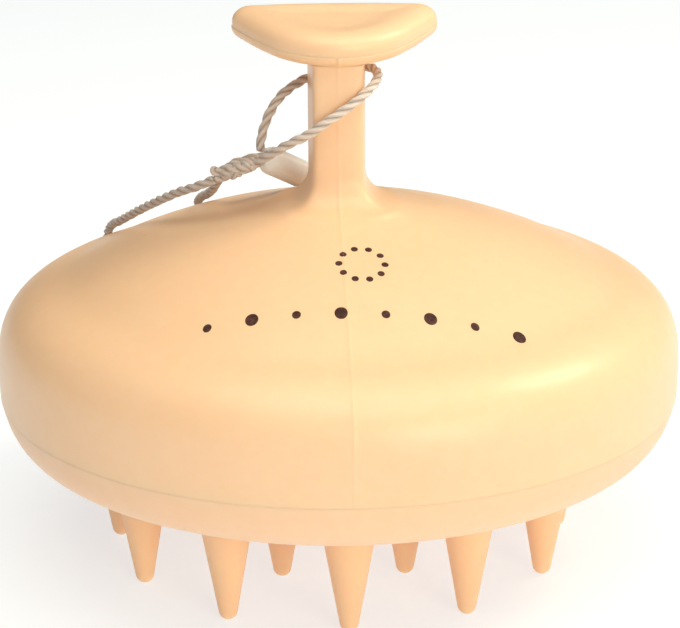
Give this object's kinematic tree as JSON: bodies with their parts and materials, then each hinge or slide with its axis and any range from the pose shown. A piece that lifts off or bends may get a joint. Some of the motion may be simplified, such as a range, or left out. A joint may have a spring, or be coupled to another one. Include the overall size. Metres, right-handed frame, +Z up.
{
  "type": "scalp massager brush",
  "caption": "Round domed scalp massage brush with a half-moon finger grip on a short neck, soft conical teeth underneath and a loop of string round the neck.",
  "frame": {"origin": "on the dome's axis at the height of the tooth tips, which stand on the surface", "axes": "+Z up along the neck and the dome's axis; -Y towards the curved front edge of the grip; +X to the right of the grip seen from that front"},
  "size_m": [0.0858, 0.0858, 0.0681],
  "materials": {
    "shell": "soft-touch satin, peach cream",
    "silicone": "satin translucent silicone, peach",
    "inner_plastic": "plain moulded white",
    "lock_plastic": "milky translucent",
    "string": "twisted off-white string",
    "steel": "plated",
    "ink": "dark brown pad print"
  },
  "bodies": {
    "root": {"top_shell": "shell", "grip_cap": "shell", "base_ring": "shell", "brush_pad": "silicone", "clamp_plate": "inner_plastic", "screw_1": "steel", "screw_2": "steel", "screw_3": "steel", "screw_4": "steel"},
    "string": {"neck_loop": "string", "knot": "string", "hang_loop": "string", "cord_lock": "lock_plastic"},
    "tooth_outer_01": {"tooth_outer_01": "silicone"},
    "tooth_outer_02": {"tooth_outer_02": "silicone"},
    "tooth_outer_03": {"tooth_outer_03": "silicone"},
    "tooth_outer_04": {"tooth_outer_04": "silicone"},
    "tooth_outer_05": {"tooth_outer_05": "silicone"},
    "tooth_outer_06": {"tooth_outer_06": "silicone"},
    "tooth_outer_07": {"tooth_outer_07": "silicone"},
    "tooth_outer_08": {"tooth_outer_08": "silicone"},
    "tooth_outer_09": {"tooth_outer_09": "silicone"},
    "tooth_outer_10": {"tooth_outer_10": "silicone"},
    "tooth_outer_11": {"tooth_outer_11": "silicone"},
    "tooth_outer_12": {"tooth_outer_12": "silicone"},
    "tooth_inner_01": {"tooth_inner_01": "silicone"},
    "tooth_inner_02": {"tooth_inner_02": "silicone"},
    "tooth_inner_03": {"tooth_inner_03": "silicone"},
    "tooth_inner_04": {"tooth_inner_04": "silicone"},
    "tooth_inner_05": {"tooth_inner_05": "silicone"},
    "tooth_inner_06": {"tooth_inner_06": "silicone"}
  },
  "joints": [
    {"name": "string_swivel", "type": "hinge", "parent": "root", "child": "string", "pos_m": [0, 0, 0.055], "axis": [0, 0, 1], "range_deg": [-20, 20]},
    {"name": "tooth_outer_01_flex", "type": "hinge", "parent": "root", "child": "tooth_outer_01", "pos_m": [0, -0.02865, 0.0177], "axis": [-1, 0, 0], "range_deg": [-12, 12], "stiffness_Nm_per_rad": 0.03},
    {"name": "tooth_outer_02_flex", "type": "hinge", "parent": "root", "child": "tooth_outer_02", "pos_m": [0.01432, -0.02481, 0.0177], "axis": [-0.866, -0.5, 0], "range_deg": [-12, 12], "stiffness_Nm_per_rad": 0.03},
    {"name": "tooth_outer_03_flex", "type": "hinge", "parent": "root", "child": "tooth_outer_03", "pos_m": [0.02481, -0.01432, 0.0177], "axis": [-0.5, -0.866, 0], "range_deg": [-12, 12], "stiffness_Nm_per_rad": 0.03},
    {"name": "tooth_outer_04_flex", "type": "hinge", "parent": "root", "child": "tooth_outer_04", "pos_m": [0.02865, 0, 0.0177], "axis": [0, -1, 0], "range_deg": [-12, 12], "stiffness_Nm_per_rad": 0.03},
    {"name": "tooth_outer_05_flex", "type": "hinge", "parent": "root", "child": "tooth_outer_05", "pos_m": [0.02481, 0.01432, 0.0177], "axis": [0.5, -0.866, 0], "range_deg": [-12, 12], "stiffness_Nm_per_rad": 0.03},
    {"name": "tooth_outer_06_flex", "type": "hinge", "parent": "root", "child": "tooth_outer_06", "pos_m": [0.01432, 0.02481, 0.0177], "axis": [0.866, -0.5, 0], "range_deg": [-12, 12], "stiffness_Nm_per_rad": 0.03},
    {"name": "tooth_outer_07_flex", "type": "hinge", "parent": "root", "child": "tooth_outer_07", "pos_m": [0, 0.02865, 0.0177], "axis": [1, 0, 0], "range_deg": [-12, 12], "stiffness_Nm_per_rad": 0.03},
    {"name": "tooth_outer_08_flex", "type": "hinge", "parent": "root", "child": "tooth_outer_08", "pos_m": [-0.01432, 0.02481, 0.0177], "axis": [0.866, 0.5, 0], "range_deg": [-12, 12], "stiffness_Nm_per_rad": 0.03},
    {"name": "tooth_outer_09_flex", "type": "hinge", "parent": "root", "child": "tooth_outer_09", "pos_m": [-0.02481, 0.01432, 0.0177], "axis": [0.5, 0.866, 0], "range_deg": [-12, 12], "stiffness_Nm_per_rad": 0.03},
    {"name": "tooth_outer_10_flex", "type": "hinge", "parent": "root", "child": "tooth_outer_10", "pos_m": [-0.02865, 0, 0.0177], "axis": [0, 1, 0], "range_deg": [-12, 12], "stiffness_Nm_per_rad": 0.03},
    {"name": "tooth_outer_11_flex", "type": "hinge", "parent": "root", "child": "tooth_outer_11", "pos_m": [-0.02481, -0.01432, 0.0177], "axis": [-0.5, 0.866, 0], "range_deg": [-12, 12], "stiffness_Nm_per_rad": 0.03},
    {"name": "tooth_outer_12_flex", "type": "hinge", "parent": "root", "child": "tooth_outer_12", "pos_m": [-0.01432, -0.02481, 0.0177], "axis": [-0.866, 0.5, 0], "range_deg": [-12, 12], "stiffness_Nm_per_rad": 0.03},
    {"name": "tooth_inner_01_flex", "type": "hinge", "parent": "root", "child": "tooth_inner_01", "pos_m": [0.0077, -0.01334, 0.0177], "axis": [-0.866, -0.5, 0], "range_deg": [-12, 12], "stiffness_Nm_per_rad": 0.03},
    {"name": "tooth_inner_02_flex", "type": "hinge", "parent": "root", "child": "tooth_inner_02", "pos_m": [0.0154, 0, 0.0177], "axis": [0, -1, 0], "range_deg": [-12, 12], "stiffness_Nm_per_rad": 0.03},
    {"name": "tooth_inner_03_flex", "type": "hinge", "parent": "root", "child": "tooth_inner_03", "pos_m": [0.0077, 0.01334, 0.0177], "axis": [0.866, -0.5, 0], "range_deg": [-12, 12], "stiffness_Nm_per_rad": 0.03},
    {"name": "tooth_inner_04_flex", "type": "hinge", "parent": "root", "child": "tooth_inner_04", "pos_m": [-0.0077, 0.01334, 0.0177], "axis": [0.866, 0.5, 0], "range_deg": [-12, 12], "stiffness_Nm_per_rad": 0.03},
    {"name": "tooth_inner_05_flex", "type": "hinge", "parent": "root", "child": "tooth_inner_05", "pos_m": [-0.0154, 0, 0.0177], "axis": [0, 1, 0], "range_deg": [-12, 12], "stiffness_Nm_per_rad": 0.03},
    {"name": "tooth_inner_06_flex", "type": "hinge", "parent": "root", "child": "tooth_inner_06", "pos_m": [-0.0077, -0.01334, 0.0177], "axis": [-0.866, 0.5, 0], "range_deg": [-12, 12], "stiffness_Nm_per_rad": 0.03}
  ]
}
